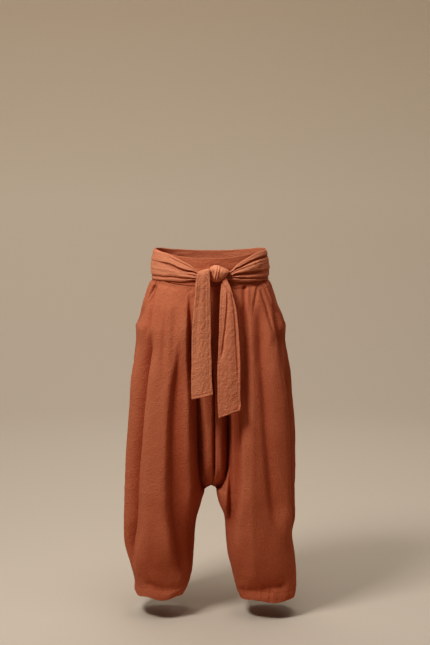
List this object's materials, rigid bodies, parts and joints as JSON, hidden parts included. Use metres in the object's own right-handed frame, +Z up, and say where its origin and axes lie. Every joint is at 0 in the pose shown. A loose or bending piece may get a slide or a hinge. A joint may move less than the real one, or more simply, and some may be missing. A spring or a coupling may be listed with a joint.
{
  "type": "harem pants",
  "caption": "Loose drop-crotch trousers with gathered ankles, slanted side pockets and a cloth sash tied in front, in the form they take when worn.",
  "frame": {"origin": "middle of the waist opening, level with the waistband's top edge at the sides", "axes": "+Z up along the wearer's body, -Y the way the wearer faces, +X towards the wearer's left"},
  "size_m": [0.4872, 0.2831, 0.9911],
  "materials": {
    "linen": "washed terracotta linen, fine weave, soft crinkle",
    "sash_linen": "the same washed linen, a little lighter where it catches the light"
  },
  "bodies": {
    "root": {"right_front_panel": "linen", "left_front_panel": "linen", "right_back_panel": "linen", "left_back_panel": "linen", "right_pocket_facing": "linen", "left_pocket_facing": "linen", "waistband": "linen", "sash_wrap": "sash_linen", "sash_knot": "sash_linen", "sash_tail_right": "sash_linen", "sash_tail_left": "sash_linen"}
  },
  "joints": []
}
